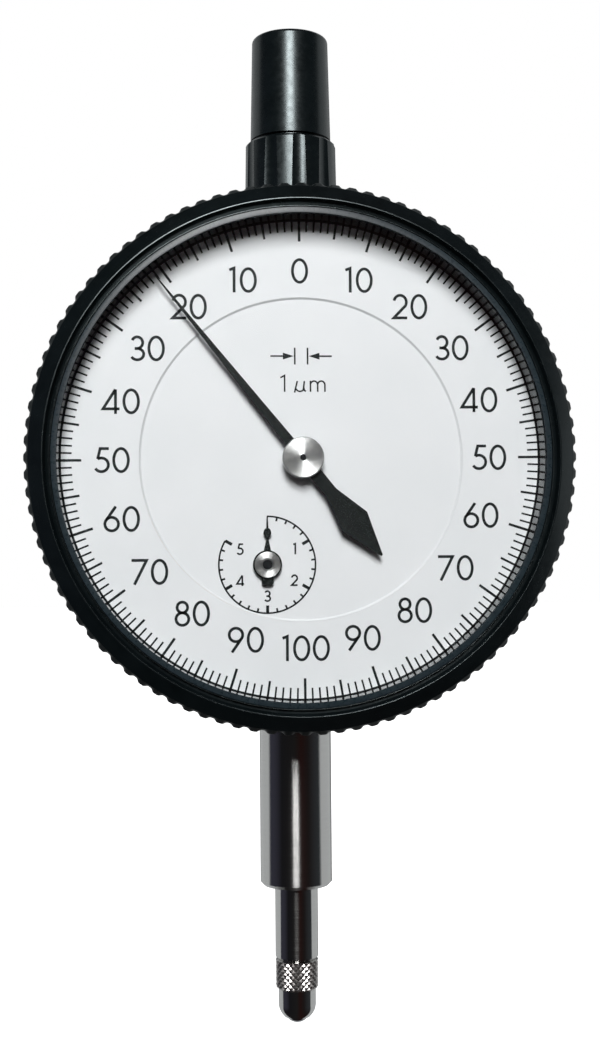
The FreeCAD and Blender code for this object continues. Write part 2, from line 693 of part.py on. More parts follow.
def hairspring_stud():
    """The pin in the front plate that holds the spiral's outer end."""
    reach = HAIRSPRING_FIRST_R + HAIRSPRING_TURNS * HAIRSPRING_PITCH + HAIRSPRING_T / 2
    x, z = TAKEUP_CENTRE
    pin = rod(0.4, COUNTER_WHEEL_Y, FRONT_PLATE_Y, (x, z + reach))
    return pin.cut(hairspring())


# Bezel and what turns with it

def scalloped_outline(y):
    """The rim's grip: shallow rounded lobes with a flat between each pair."""
    lobes = 100
    depth = 0.36
    lobe_share, ramp_share = 0.4, 0.16
    step = 360 / lobes
    valley_r = BEZEL_R - depth
    edges = []

    def rim_point(radius, degrees):
        x, z = clock(radius, degrees)
        return at(x, y, z)

    for index in range(lobes):
        middle = index * step
        half_top = lobe_share * step / 2
        half_foot = half_top + ramp_share * step
        crest = [rim_point(BEZEL_R - 0.08, middle - half_top), rim_point(BEZEL_R, middle),
                 rim_point(BEZEL_R - 0.08, middle + half_top)]
        left_foot = rim_point(valley_r, middle - half_foot)
        right_foot = rim_point(valley_r, middle + half_foot)
        next_foot = rim_point(valley_r, middle + step - half_foot)
        edges += [Part.LineSegment(left_foot, crest[0]).toShape(), Part.Arc(*crest).toShape(),
                  Part.LineSegment(crest[2], right_foot).toShape(),
                  Part.LineSegment(right_foot, next_foot).toShape()]
    return Part.Wire(Part.__sortEdges__(edges))


RIM_FRONT_Y = CRYSTAL_FRONT_Y + 1.25
LIP_Y = CRYSTAL_FRONT_Y - 0.1
SEAT_CONE = 0.4              # crystal's edge: radius gained for each mm forwards
SEAT_BACK_R = WINDOW_R + 0.1


def seat_r(y):
    """The radius of the crystal's cone seat at a depth."""
    return SEAT_BACK_R + SEAT_CONE * (CRYSTAL_BACK_Y - y)


def bezel():
    lip_r = seat_r(LIP_Y)
    ridge_y = LIP_Y - 0.2
    body = turned([
        (SKIRT_BORE_R, BEZEL_BACK_Y), (BEZEL_R - 0.4, BEZEL_BACK_Y),
        (BEZEL_R, BEZEL_BACK_Y - 0.4), (BEZEL_R, RIM_FRONT_Y),
        (BEZEL_R - 0.75, LIP_Y + 0.4), (BEZEL_R - 1.6, LIP_Y + 0.2),
        (BEZEL_R - 1.95, ridge_y), (BEZEL_R - 2.3, ridge_y), (BEZEL_R - 2.4, LIP_Y),
        (lip_r, LIP_Y), (SEAT_BACK_R, CRYSTAL_BACK_Y), (WINDOW_R, RING_FACE_Y),
        (SKIRT_BORE_R, RING_FACE_Y), (SKIRT_BORE_R, GROOVE_Y - GROOVE_HALF),
        (SKIRT_BORE_R + 0.45, GROOVE_Y - GROOVE_HALF),
        (SKIRT_BORE_R + 0.45, GROOVE_Y + GROOVE_HALF),
        (SKIRT_BORE_R, GROOVE_Y + GROOVE_HALF)])
    grip = Part.Face(scalloped_outline(BEZEL_BACK_Y + 1))
    return body.common(grip.extrude(FreeCAD.Vector(0, ridge_y - BEZEL_BACK_Y - 3, 0)))


def crystal():
    """The clear disc, with a bevelled edge in the bezel's cone seat."""
    return turned([(0, CRYSTAL_BACK_Y), (SEAT_BACK_R, CRYSTAL_BACK_Y),
                   (seat_r(CRYSTAL_FRONT_Y), CRYSTAL_FRONT_Y), (0, CRYSTAL_FRONT_Y)])


def dial_ring():
    return tube(SKIRT_BORE_R, DIAL_DISC_R + DIAL_RING_GAP, RING_BACK_Y, RING_FACE_Y)


def dial_retainer():
    return tube(SKIRT_BORE_R, SKIRT_BORE_R - 1.3, RETAINER_BACK_Y, RING_BACK_Y)


def bezel_snap_ring():
    """A split wire ring, seated in the bezel's groove and running in the case's."""
    wire_r = GROOVE_HALF
    ring_r = SKIRT_BORE_R + 0.45 - wire_r
    ring = Part.makeTorus(ring_r, wire_r, at(0, GROOVE_Y, 0), FreeCAD.Vector(0, 1, 0))
    split = block((-2, 2), (GROOVE_Y - 1, GROOVE_Y + 1), (ring_r - 2, ring_r + 2))
    return ring.cut(split)


# Spindle and what slides with it

def rack_cut():
    """What is milled off the spindle: a flat, and the gaps between the rack's teeth."""
    flat_x = RACK_X + WHEEL_ADDENDUM * RACK_MODULE
    root_x = RACK_X - DEDENDUM * RACK_MODULE
    clear = first_pinion.tip_r + 0.4
    middle = FIRST_CENTRE[1]
    low, high = middle - TRAVEL - clear, middle + clear
    wide = SPINDLE_R + 1
    cut = block((flat_x, wide), (-wide, wide), (low, high))

    def gap_half(x):
        return RACK_PITCH / 4 * (1 + THINNING) + (x - RACK_X) * math.tan(PRESSURE_ANGLE)

    gaps = []
    outer_x = flat_x + 0.1
    count = math.floor((high - low) / RACK_PITCH)
    for index in range(count):
        z = middle + clear - (clear % RACK_PITCH) - RACK_PITCH * (index + 0.5)
        outline = [(root_x, z - gap_half(root_x)), (outer_x, z - gap_half(outer_x)),
                   (outer_x, z + gap_half(outer_x)), (root_x, z + gap_half(root_x))]
        gaps.append(raised(outline, wide, 2 * wide))
    return cut, gaps


def spindle():
    edge = 0.3
    bore_r, bore_depth = 1.25, 6.0
    shaft = turned_upright([
        (bore_r, SPINDLE_END), (SPINDLE_R - edge, SPINDLE_END), (SPINDLE_R, SPINDLE_END + edge),
        (SPINDLE_R, SPINDLE_TOP - edge), (SPINDLE_R - edge, SPINDLE_TOP), (0, SPINDLE_TOP),
        (0, SPINDLE_END + bore_depth), (bore_r, SPINDLE_END + bore_depth)])
    flat, gaps = rack_cut()
    shaft = shaft.cut(flat).cut(gaps)
    pin_bore = Part.makeCylinder(GUIDE_PIN_R, SPINDLE_R + 1, at(-SPINDLE_R - 1, 0, GUIDE_PIN_Z),
                                 FreeCAD.Vector(1, 0, 0))
    return shaft.cut(pin_bore)


def stop_ring():
    """Rests on the buffer washer when the spindle is down."""
    ring = upright(STOP_RING_R, STOP_RING_Z, STOP_RING_Z + 1.0)
    return ring.cut(upright(SPINDLE_R, STOP_RING_Z - 1, STOP_RING_Z + 2))


def guide_pin():
    """Slides in the rail's slot and carries the return spring's upper eye."""
    far = RAIL_X - RAIL_T - 0.3
    return Part.makeCylinder(GUIDE_PIN_R, -far, at(far, 0, GUIDE_PIN_Z), FreeCAD.Vector(1, 0, 0))


def contact_parts():
    """The screwed-in contact point, with a grip and a stout nose, and the ball set in its end."""
    tip = SPINDLE_END - CONTACT_LENGTH
    ball_r = CONTACT_BALL_D / 2
    ball_z = tip + ball_r
    stud_r, stud_top = 1.25, SPINDLE_END + 4.5
    grip_r, grip_edge = SPINDLE_R, 0.25
    grip_end = SPINDLE_END - GRIP_LENGTH
    shoulder_z = grip_end - 0.25
    nose_r = ball_r + 0.6
    waist_z, waist_r = ball_z - 0.25 * ball_r, ball_r + 0.4
    mouth_z = ball_z - 0.57 * ball_r
    mouth_r = math.sqrt(ball_r ** 2 - (ball_z - mouth_z) ** 2) + 0.16
    body = turned_upright([
        (0, stud_top), (stud_r, stud_top), (stud_r, SPINDLE_END),
        (grip_r - grip_edge, SPINDLE_END), (grip_r, SPINDLE_END - grip_edge), (grip_r, grip_end),
        (nose_r, shoulder_z), (nose_r, ball_z + 0.6 * ball_r), (waist_r, waist_z),
        (mouth_r, mouth_z), (0, mouth_z)])
    ball = Part.makeSphere(ball_r, at(0, 0, ball_z))
    return body.cut(ball), ball


# Trains

def first_arbor():
    """Carries the pinion that the rack turns."""
    length = SPINDLE_D - 1.2
    shaft = arbor(FIRST_CENTRE, REAR_PLATE_Y, MIDDLE_PLATE_Y, ARBOR_R, PLATE_T - 0.1)
    return shaft.fuse(first_pinion.solid(length / 2, length))


def second_arbor():
    """Carries the pinion that the first wheel turns, and the counter's pinion."""
    shaft = arbor(SECOND_CENTRE, REAR_PLATE_Y, FRONT_PLATE_Y, ARBOR_R, PLATE_T - 0.1)
    rear = second_pinion.solid(FIRST_WHEEL_Y + 0.1, WHEEL_T + 0.2)
    front = counter_pinion.solid(COUNTER_WHEEL_Y + 0.1, WHEEL_T + 0.2)
    return shaft.fuse([rear, front])


def centre_arbor():
    """Turns the pointer, which is pressed on its front end."""
    back = MIDDLE_PLATE_Y - PLATE_T
    shaft = rod(CENTRE_ARBOR_R, back - END_SHAKE, POINTER_Y - POINTER_T - 0.3)
    pivot = rod(PIVOT_R, MIDDLE_PLATE_Y - 0.1, back - 1)
    pinion = centre_pinion.solid(SECOND_WHEEL_Y + 0.3, WHEEL_T + 0.6)
    return shaft.fuse([pivot, pinion])


def takeup_arbor():
    back = MIDDLE_PLATE_Y - PLATE_T
    return arbor(TAKEUP_CENTRE, back, FRONT_PLATE_Y, CENTRE_ARBOR_R, PLATE_T - 0.1)


def hairspring_collet():
    back = HAIRSPRING_BACK_Y
    return tube(COLLET_R, CENTRE_ARBOR_R, back, back - HAIRSPRING_WIDTH, TAKEUP_CENTRE)


COUNTER_POINTER_Y = DIAL_FACE_Y - 0.45


def counter_arbor():
    """Runs in a bush in the front plate, with its wheel behind and its pointer in front."""
    shoulder_y = COUNTER_WHEEL_Y - WHEEL_T
    shaft = rod(CENTRE_ARBOR_R, COUNTER_WHEEL_Y + 0.1, COUNTER_POINTER_Y - POINTER_T - 0.15,
                COUNTER_CENTRE)
    return shaft.fuse(rod(0.9, shoulder_y, FRONT_PLATE_Y + END_SHAKE, COUNTER_CENTRE))


# Pointers

def pointer():
    """A tapering blade with a spade-shaped counterweight, at its rest angle."""
    eye_r, bore_r = 1.9, 1.2
    root_half, tip_half = 0.58, 0.06
    neck_half, spade_half = 0.68, 1.66
    spade_z, neck_z = -8.5, -4.6
    back = POINTER_Y
    blade = raised([(-root_half, 0), (-tip_half, POINTER_REACH), (tip_half, POINTER_REACH),
                    (root_half, 0)], back, POINTER_T)
    tail = raised([(-neck_half, 0), (-neck_half, neck_z), (-spade_half, spade_z),
                   (-0.1, -POINTER_TAIL), (0.1, -POINTER_TAIL), (spade_half, spade_z),
                   (neck_half, neck_z), (neck_half, 0)], back, POINTER_T)
    eye_disc = rod(eye_r, back, back - POINTER_T)
    shape = eye_disc.fuse([blade, tail]).cut(rod(bore_r, back + 1, back - 1))
    return turn_clock(shape.removeSplitter(), POINTER_REST_CLOCK)


def pointer_hub():
    face_r, boss_r, eye_r = 2.15, 1.2, 0.34
    arbor_end = POINTER_Y - POINTER_T - 0.3
    edge = 0.12
    return turned([
        (CENTRE_ARBOR_R, POINTER_Y + 0.6), (boss_r, POINTER_Y + 0.6),
        (boss_r, POINTER_Y - POINTER_T), (face_r, POINTER_Y - POINTER_T),
        (face_r, HUB_FRONT_Y + edge), (face_r - edge, HUB_FRONT_Y), (eye_r, HUB_FRONT_Y),
        (eye_r, arbor_end), (CENTRE_ARBOR_R, arbor_end)])


def counter_pointer():
    """The turn counter's short pointer: a needle with an oval bead, on a round base with a stub."""
    base_r = 1.5
    bead_z, bead_half, bead_long = 3.3, 0.4, 0.5
    root_half, waist_half, waist_z, tip_half = 0.42, 0.15, 2.5, 0.06
    stub_z, stub_half, stub_root = -2.15, 0.4, 0.62
    x, z = COUNTER_CENTRE
    needle = [(-root_half, 0), (-root_half, 1.2), (-waist_half, waist_z), (-tip_half, COUNTER_REACH),
              (tip_half, COUNTER_REACH), (waist_half, waist_z), (root_half, 1.2), (root_half, 0)]
    stub = [(-stub_root, 0), (-stub_root, 0.9 * stub_z), (-stub_half, stub_z),
            (stub_half, stub_z), (stub_root, 0.9 * stub_z), (stub_root, 0)]
    back = COUNTER_POINTER_Y
    pieces = [raised([(x + px, z + pz) for px, pz in points], back, POINTER_T)
              for points in (needle, stub)]
    bead = rod(bead_half, back, back - POINTER_T)
    stretch = FreeCAD.Matrix()
    stretch.A33 = bead_long / bead_half
    stretch.A34 = DIAL_Z * (1 - stretch.A33)
    bead = bead.transformGeometry(stretch)
    bead.translate(FreeCAD.Vector(x, 0, z + bead_z))
    base = rod(base_r, back + 0.3, back - POINTER_T, COUNTER_CENTRE)
    return base.fuse(pieces + [bead]).cut(rod(CENTRE_ARBOR_R, back + 1, back - 1, COUNTER_CENTRE))


def counter_hub():
    face_r, thickness, sink = 1.33, 0.3, 0.2
    back = COUNTER_POINTER_Y - POINTER_T
    x, z = COUNTER_CENTRE
    disc = tube(face_r, CENTRE_ARBOR_R, back, back - thickness, COUNTER_CENTRE)
    cone = Part.makeCone(CENTRE_ARBOR_R, CENTRE_ARBOR_R + sink, sink,
                         at(x, back - thickness + sink, z), FreeCAD.Vector(0, -1, 0))
    return disc.cut(cone)


def all_parts():
    contact_point, contact_ball = contact_parts()
    return {
        "case_housing": case_housing(),
        "stem": stem(),
        "lower_bush": lower_bush(),
        "upper_bush": upper_bush(),
        "cap_collar": cap_collar(),
        "spindle_cap": spindle_cap(),
        "back_cover": back_cover(),
        "back_gasket": back_gasket(),
        "back_cover_screws": back_cover_screws(),
        "rear_plate": rear_plate(),
        "middle_plate": middle_plate(),
        "front_plate": front_plate(),
        "rear_pillars": pillars(REAR_PLATE_Y, MIDDLE_PLATE_Y),
        "front_pillars": pillars(MIDDLE_PLATE_Y - PLATE_T, FRONT_PLATE_Y),
        "movement_screws": movement_screws(),
        "pivot_jewels": pivot_jewels(),
        "counter_bush": counter_bush(),
        "dial_disc": dial_disc(),
        "guide_rail": guide_rail(),
        "guide_rail_screws": guide_rail_screws(),
        "spring_anchor": spring_anchor(),
        "return_spring": return_spring(),
        "buffer_washer": buffer_washer(),
        "hairspring": hairspring(),
        "hairspring_stud": hairspring_stud(),
        "bezel": bezel(),
        "crystal": crystal(),
        "dial_ring": dial_ring(),
        "dial_retainer": dial_retainer(),
        "bezel_snap_ring": bezel_snap_ring(),
        "spindle": spindle(),
        "stop_ring": stop_ring(),
        "guide_pin": guide_pin(),
        "contact_point": contact_point,
        "contact_ball": contact_ball,
        "first_arbor": first_arbor(),
        "first_wheel": crossed_wheel(first_wheel, FIRST_WHEEL_Y, ARBOR_R),
        "second_arbor": second_arbor(),
        "second_wheel": crossed_wheel(second_wheel, SECOND_WHEEL_Y, ARBOR_R),
        "centre_arbor": centre_arbor(),
        "pointer": pointer(),
        "pointer_hub": pointer_hub(),
        "counter_arbor": counter_arbor(),
        "counter_wheel": crossed_wheel(counter_wheel, COUNTER_WHEEL_Y, CENTRE_ARBOR_R, 3),
        "counter_pointer": counter_pointer(),
        "counter_hub": counter_hub(),
        "takeup_arbor": takeup_arbor(),
        "takeup_wheel": crossed_wheel(takeup_wheel, SECOND_WHEEL_Y, CENTRE_ARBOR_R),
        "hairspring_collet": hairspring_collet(),
    }


def main():
    os.makedirs("parts", exist_ok=True)
    for name, shape in all_parts().items():
        if not shape.isValid() or not shape.Solids:
            raise ValueError(f"{name} is not a valid solid")
        shape.exportStep(os.path.join("parts", name + ".step"))
        print(f"{name}: {len(shape.Solids)} solid(s), {shape.Volume:.2f} mm3")


main()
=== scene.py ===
import math

import bmesh
import bpy
from mathutils import Matrix, Vector


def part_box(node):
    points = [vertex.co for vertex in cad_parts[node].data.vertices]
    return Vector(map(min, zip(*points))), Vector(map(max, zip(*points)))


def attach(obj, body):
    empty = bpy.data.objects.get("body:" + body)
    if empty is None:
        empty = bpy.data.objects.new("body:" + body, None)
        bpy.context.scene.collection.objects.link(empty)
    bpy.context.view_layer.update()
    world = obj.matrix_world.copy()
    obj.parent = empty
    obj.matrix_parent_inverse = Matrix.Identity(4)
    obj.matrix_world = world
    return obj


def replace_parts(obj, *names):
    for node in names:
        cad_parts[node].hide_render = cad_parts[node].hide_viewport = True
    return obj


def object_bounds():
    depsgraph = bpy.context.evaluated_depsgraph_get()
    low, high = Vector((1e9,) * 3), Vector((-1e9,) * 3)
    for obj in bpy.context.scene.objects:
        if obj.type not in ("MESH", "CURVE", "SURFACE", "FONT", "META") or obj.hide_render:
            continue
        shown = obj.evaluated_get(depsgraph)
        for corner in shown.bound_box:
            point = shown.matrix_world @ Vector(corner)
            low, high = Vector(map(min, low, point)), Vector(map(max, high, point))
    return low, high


# The looks of the plunger dial indicator, in metres and in the CAD frame: the dial faces -Y,
# +Z is up along the stem, and plan positions are (x, z) from the dial's centre.
# A clock angle is in degrees, clockwise from 12 as seen from the front.

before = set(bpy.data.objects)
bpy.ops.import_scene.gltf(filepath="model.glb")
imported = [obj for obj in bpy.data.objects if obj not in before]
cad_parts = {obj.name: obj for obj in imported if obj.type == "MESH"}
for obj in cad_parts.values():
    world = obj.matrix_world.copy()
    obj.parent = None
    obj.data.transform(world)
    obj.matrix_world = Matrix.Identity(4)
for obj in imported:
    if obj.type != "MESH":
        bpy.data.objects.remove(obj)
cad_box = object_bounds()

MM = 0.001

# Places that come from the frame
DIAL_Z = sum(corner.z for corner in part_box("crystal")) / 2
RING_FACE_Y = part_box("dial_ring")[0].y
DISC_FACE_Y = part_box("dial_disc")[0].y
COUNTER_X = sum(corner.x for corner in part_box("counter_wheel")) / 2
COUNTER_Z = sum(corner.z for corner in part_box("counter_wheel")) / 2 - DIAL_Z
BEZEL_LOW, BEZEL_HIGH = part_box("bezel")
CRYSTAL_LOW, CRYSTAL_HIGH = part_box("crystal")
RIM_R = BEZEL_HIGH.x
BEZEL_FRONT_Y = BEZEL_LOW.y
BEZEL_BACK_Y = BEZEL_HIGH.y
CRYSTAL_R = CRYSTAL_HIGH.x
SKIRT_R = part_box("dial_ring")[1].x

# The bezel and the crystal
LIP_Y = BEZEL_FRONT_Y + 0.2 * MM
SEAT_BACK_R = CRYSTAL_R - 0.5 * MM
WINDOW_R = 25.0 * MM
PAINTED_RIM_R = 25.06 * MM         # outside this radius the crystal's rim is opaque slate, a painted reflection of the dial
SCALLOPS = 100
SCALLOP_DEPTH = 0.3 * MM
SCALLOP_STEPS = 16            # facets in each scallop
ROUND_STEPS = 512             # facets round the plain turned pieces

# The contact point
GRIP_LENGTH = 3.15 * MM
KNURLS = 22
KNURL_RISE = 0.66 * MM        # from one row of diamonds to the next
KNURL_DEPTH = 0.16 * MM
KNURL_ROWS = 96
KNURL_STEPS = 20              # facets in each knurl

# The outer dial
DIVISIONS = 200
DIAL_TURN = -0.31            # the bezel's clock angle at rest
INNER_DIAL_R = 16.9 * MM     # the ring's inner edge
TICK_OUTER = 25.0 * MM
TICK_INNER = {10: 22.78 * MM, 5: 23.28 * MM, 1: 23.78 * MM}
TICK_WIDTH = {10: 0.27 * MM, 5: 0.24 * MM, 1: 0.19 * MM}
BORDER_R = 24.95 * MM
BORDER_WIDTH = 0.14 * MM
BORDER_STEP = 2               # degrees
NUMERAL_R = 19.68 * MM
NUMERAL_HEIGHT = 2.62 * MM
NUMERAL_STROKE = 0.3 * MM
INK_THICKNESS = 0.012 * MM

# The turn counter's scale
COUNTER_R = 5.02 * MM
COUNTER_END = 300             # the last tick's clock angle
COUNTER_STEP = 12
COUNTER_LINE = 0.18 * MM
WHOLE_TICK = (0.8 * MM, 0.32 * MM)       # length and width
FIFTH_TICK = (0.42 * MM, 0.2 * MM)
COUNTER_NUMERAL_R = 3.25 * MM
COUNTER_NUMERAL_HEIGHT = 1.14 * MM
COUNTER_NUMERAL_STROKE = 0.18 * MM

# The unit mark
MARK_LINE = 0.17 * MM
MARK_ARROWS_Z = 10.75 * MM
MARK_TEXT_Z = 7.0 * MM
MARK_TEXT_HEIGHT = 1.72 * MM

# Camera and light
CAMERA_PLACE = Vector((-11.7, -165.4, 24.5)) * MM
CAMERA_YAW = -4.30
CAMERA_PITCH = 2.18
CAMERA_ROLL = -0.47
CAMERA_LENS = 50.43
CAMERA_SENSOR = 36.0
KEY_AZIMUTH = -4.0           # from straight ahead of the dial; below zero is towards -X
KEY_ELEVATION = 28.5
KEY_DISTANCE = 1.0
KEY_SIZE = (0.30, 0.42)
KEY_POWER = 11.0
FLOOR_HALF = 6.0
FLOOR_DROP = 0.06            # below the tip
FLOOR_GLOW = 1.2
TOWARDS_FRONT = (-0.148, -0.989, 0.0)
PALE = (1.0, 1.0, 1.0, 1)                # the surround as the camera sees it
SIDES = (0.56, 0.58, 0.585, 1)           # the surround as the object mirrors it
BEHIND = (0.10, 0.105, 0.105, 1)
ROOM_COLOURS = ((0.0, (0.05, 0.05, 0.07)), (0.12, (0.012, 0.012, 0.014)),
                (0.45, (0.016, 0.015, 0.015)), (0.62, (0.022, 0.009, 0.008)),
                (0.8, (0.016, 0.013, 0.013)), (1.0, (0.04, 0.045, 0.05)))


# Shapes

def clock(radius, degrees):
    """The plan position at a clock angle."""
    angle = math.radians(degrees)
    return radius * math.sin(angle), radius * math.cos(angle)


def finish_mesh(bm, name, material, body, smooth_angle=None):
    """A piece from a bmesh, with the body it rides."""
    bmesh.ops.recalc_face_normals(bm, faces=bm.faces)
    mesh = bpy.data.meshes.new(name)
    bm.to_mesh(mesh)
    bm.free()
    mesh.materials.append(material)
    if smooth_angle is not None:
        mesh.shade_smooth()
        mesh.set_sharp_from_angle(angle=math.radians(smooth_angle))
    piece = bpy.data.objects.new(name, mesh)
    bpy.context.scene.collection.objects.link(piece)
    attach(piece, body)
    return piece


class Print:
    """Ink on a dial: thin raised strips on a plane that faces -Y."""

    def __init__(self, face_y, centre=(0.0, 0.0)):
        self.bm = bmesh.new()
        self.back = face_y
        self.front = face_y - INK_THICKNESS
        self.centre = centre

    def corner(self, x, z, y):
        return self.bm.verts.new((self.centre[0] + x, y, DIAL_Z + self.centre[1] + z))

    def station(self, point, side, half):
        """The strip's four corners at a point, with side its unit vector across."""
        (x, z), (sx, sz) = point, side
        left, right = (x - half * sx, z - half * sz), (x + half * sx, z + half * sz)
        return [self.corner(*left, self.front), self.corner(*right, self.front),
                self.corner(*right, self.back), self.corner(*left, self.back)]

    def strip(self, points, width, closed=False):
        """A strip of constant width along a polyline, mitred where it bends."""
        sharpest = 0.35
        count = len(points)
        stations = []
        for index, point in enumerate(points):
            before = points[index - 1] if closed or index else point
            after = points[(index + 1) % count] if closed or index < count - 1 else point
            first = (Vector(point) - Vector(before)).normalized()
            second = (Vector(after) - Vector(point)).normalized()
            along = (first + second).normalized()
            cosine = max(sharpest, along.dot(second if second.length else first))
            stations.append(self.station(point, (along.y, -along.x), width / 2 / cosine))
        pairs = list(zip(stations, stations[1:]))
        if closed:
            pairs.append((stations[-1], stations[0]))
        else:
            self.bm.faces.new(stations[0])
            self.bm.faces.new(stations[-1])
        for one, other in pairs:
            for k in range(4):
                self.bm.faces.new([one[k], one[(k + 1) % 4], other[(k + 1) % 4], other[k]])

    def filled(self, points):
        """A flat patch with a straight-sided outline."""
        rings = [[self.corner(x, z, y) for x, z in points] for y in (self.front, self.back)]
        for outline in rings:
            self.bm.faces.new(outline)
        count = len(points)
        for k in range(count):
            following = (k + 1) % count
            self.bm.faces.new([rings[0][k], rings[0][following], rings[1][following], rings[1][k]])

    def text(self, word, height, stroke, centre, gap=0.13):
        """Upright numerals, centred on a plan position."""
        widths = [GLYPHS[letter][0] for letter in word]
        total = sum(widths) + gap * (len(word) - 1)
        x = centre[0] - total * height / 2
        low = centre[1] - height / 2
        for letter, width in zip(word, widths):
            for points, closed in GLYPHS[letter][1]:
                placed = [(x + px * height, low + pz * height) for px, pz in points]
                self.strip(placed, stroke, closed)
            x += (width + gap) * height

    def piece(self, name, body):
        return finish_mesh(self.bm, name, INK, body)


def arc(x, z, rx, rz, start, end, steps=20):
    """Points along an ellipse, in degrees anticlockwise from +x."""
    angles = [math.radians(start + (end - start) * k / steps) for k in range(steps + 1)]
    return [(x + rx * math.cos(a), z + rz * math.sin(a)) for a in angles]


def ring(x, z, rx, rz, steps=40):
    return arc(x, z, rx, rz, 0, 360, steps)[:-1]


def make_glyphs():
    """Numerals of plain strokes in a height of 1: each has a width and its strokes' centre lines."""
    low, high = 0.045, 0.955
    six_bowl, six_r = (0.31, 0.30), 0.265
    lean = math.radians(148)
    touch = (six_bowl[0] + six_r * math.cos(lean), six_bowl[1] + six_r * math.sin(lean))
    six_stem = [(0.47, 0.99), touch]
    nine_stem = [(0.62 - x, 1 - z) for x, z in six_stem]
    two_top = arc(0.30, 0.68, 0.25, 0.275, 168, -32)
    three_top = arc(0.28, 0.725, 0.215, 0.23, 155, -90)
    three_low = arc(0.28, 0.27, 0.255, 0.225, 90, -152)
    three_bar = [(0.18, 0.495), (0.28, 0.495)]
    four_slope = [(0.54, 0.97), (0.05, 0.2), (0.70, 0.2)]
    five_bowl = arc(0.285, 0.315, 0.275, 0.27, 122, -148)
    return {
        "0": (0.65, [(ring(0.325, 0.5, 0.285, 0.455), True)]),
        "1": (0.41, [([(0.11, 0.90), (0.3, high + 0.02), (0.3, 0.0)], False)]),
        "2": (0.60, [(two_top + [(0.04, low), (0.58, low)], False)]),
        "3": (0.57, [(three_top, False), (three_low, False), (three_bar, False)]),
        "4": (0.70, [(four_slope, False), ([(0.54, 0.97), (0.54, 0.0)], False)]),
        "5": (0.60, [([(0.58, high), (0.24, high), (0.139, 0.544)], False), (five_bowl, False)]),
        "6": (0.62, [(ring(*six_bowl, six_r, six_r), True), (six_stem, False)]),
        "7": (0.66, [([(0.02, high), (0.61, high), (0.13, 0.0)], False)]),
        "8": (0.58, [(ring(0.29, 0.745, 0.205, 0.21), True), (ring(0.29, 0.29, 0.25, 0.245), True)]),
        "9": (0.62, [(ring(0.31, 0.70, six_r, six_r), True), (nine_stem, False)]),
    }


def turned_mesh(profile, steps, radius_at=None, axis="Y"):
    """A closed ring of quads: (radius, along) points turned about the dial's or spindle's axis."""
    bm = bmesh.new()
    rows = []
    for step in range(steps):
        angle = 2 * math.pi * step / steps
        row = []
        for radius, along in profile:
            r = radius_at(radius, along, angle) if radius_at else radius
            if axis == "Y":
                place = (r * math.sin(angle), along, DIAL_Z + r * math.cos(angle))
            else:
                place = (r * math.sin(angle), -r * math.cos(angle), along)
            row.append(bm.verts.new(place))
        rows.append(row)
    count = len(profile)
    for step in range(steps):
        one, other = rows[step], rows[(step + 1) % steps]
        for k in range(count):
            following = (k + 1) % count
            bm.faces.new([one[k], one[following], other[following], other[k]])
    return bm


def rounded(points, steps=5):
    """A closed profile with each corner rounded: points are (radius, along, fillet)."""
    smallest, most = 1e-7, 0.45
    count = len(points)
    out = []
    for index in range(count):
        x, y, fillet = points[index]
        corner = Vector((x, y))
        before = Vector(points[index - 1][:2]) - corner
        after = Vector(points[(index + 1) % count][:2]) - corner
        turn = before.angle(after)
        reach = min(fillet / math.tan(turn / 2), most * before.length, most * after.length)
        if reach < smallest:
            out.append((x, y))
            continue
        radius = reach * math.tan(turn / 2)
        inward = (before.normalized() + after.normalized()).normalized()
        centre = corner + inward * (radius / math.sin(turn / 2))
        start = corner + before.normalized() * reach - centre
        end = corner + after.normalized() * reach - centre
        sweep = start.angle_signed(end)
        for k in range(steps + 1):
            spoke = start.copy()
            spoke.rotate(Matrix.Rotation(-sweep * k / steps, 2))
            out.append(tuple(centre + spoke))
    return out


# Materials

NOISE_LOW = 0.3
NOISE_HIGH = 0.7


class Graph:
    """Short calls that build a node tree."""

    def __init__(self, tree):
        self.tree = tree

    def node(self, kind, **settings):
        made = self.tree.nodes.new(kind)
        for setting, value in settings.items():
            setattr(made, setting, value)
        return made

    def link(self, output, socket):
        self.tree.links.new(output, socket)

    def ramp(self, value, stops):
        """A colour from a value: stops are (position, colour)."""
        made = self.node("ShaderNodeValToRGB")
        elements = made.color_ramp.elements
        while len(elements) < len(stops):
            elements.new(0.5)
        for element, (position, colour) in zip(elements, stops):
            element.position = position
            element.color = (*colour, 1)
        self.link(value, made.inputs["Fac"])
        return made.outputs["Color"]

    def scaled(self, value, low, high, new_low=0.0, new_high=1.0):
        """A value taken from one range to another, and held at its ends."""
        made = self.node("ShaderNodeMapRange")
        made.inputs["From Min"].default_value = low
        made.inputs["From Max"].default_value = high
        made.inputs["To Min"].default_value = new_low
        made.inputs["To Max"].default_value = new_high
        self.link(value, made.inputs["Value"])
        return made.outputs["Result"]

    def mixed(self, share):
        """A colour mix whose A shows where the share is 0 and B where it is 1."""
        made = self.node("ShaderNodeMix", data_type="RGBA")
        self.link(share, made.inputs["Factor"])
        return made


